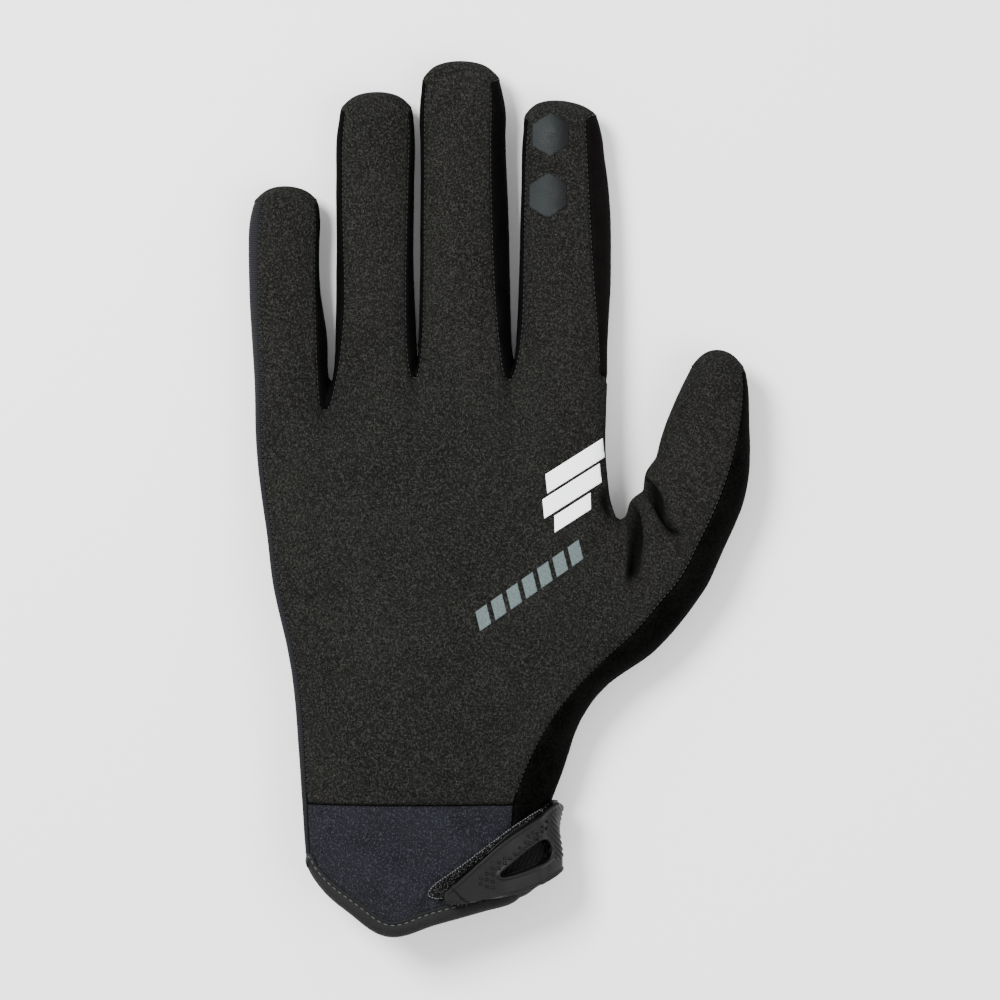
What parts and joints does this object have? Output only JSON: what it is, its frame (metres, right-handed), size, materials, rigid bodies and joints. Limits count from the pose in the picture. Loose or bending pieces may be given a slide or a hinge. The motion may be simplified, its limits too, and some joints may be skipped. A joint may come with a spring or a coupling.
{
  "type": "glove",
  "caption": "Right-hand motocross glove lying palm up: suede palm, knit cuff with rolled binding, hook-and-loop wrist strap under a moulded tab, grip prints on the index finger",
  "frame": {"origin": "middle of the underside of the glove's box, on the surface that the back of the hand lies on", "axes": "+X towards the thumb, +Y towards the fingertips, +Z out of the palm"},
  "size_m": [0.143, 0.2484, 0.0275],
  "materials": {
    "palm_panel": "matte suede with a short nap",
    "fourchette_little_ring": "matte stretch knit",
    "fourchette_ring_middle": "matte stretch knit",
    "fourchette_middle_index": "matte stretch knit",
    "little_side_panel": "matte ribbed knit",
    "index_side_panel": "matte stretch knit",
    "thumb_side_panel": "matte soft cloth",
    "back_panel": "matte stretch knit",
    "cuff_palm_panel": "matte knit",
    "cuff_back_panel": "matte knit",
    "cuff_binding": "matte woven binding",
    "closure_strap": "coarse fuzzy hook-and-loop",
    "closure_tab": "satin moulded rubber",
    "grip_hexagon_1": "satin silicone print",
    "grip_hexagon_2": "satin silicone print"
  },
  "bodies": {
    "root": {"palm_panel": "palm_panel", "fourchette_little_ring": "fourchette_little_ring", "fourchette_ring_middle": "fourchette_ring_middle", "fourchette_middle_index": "fourchette_middle_index", "little_side_panel": "little_side_panel", "index_side_panel": "index_side_panel", "thumb_side_panel": "thumb_side_panel", "back_panel": "back_panel", "cuff_palm_panel": "cuff_palm_panel", "cuff_back_panel": "cuff_back_panel", "cuff_binding": "cuff_binding", "closure_strap": "closure_strap", "closure_tab": "closure_tab", "grip_hexagon_1": "grip_hexagon_1", "grip_hexagon_2": "grip_hexagon_2"}
  },
  "joints": []
}
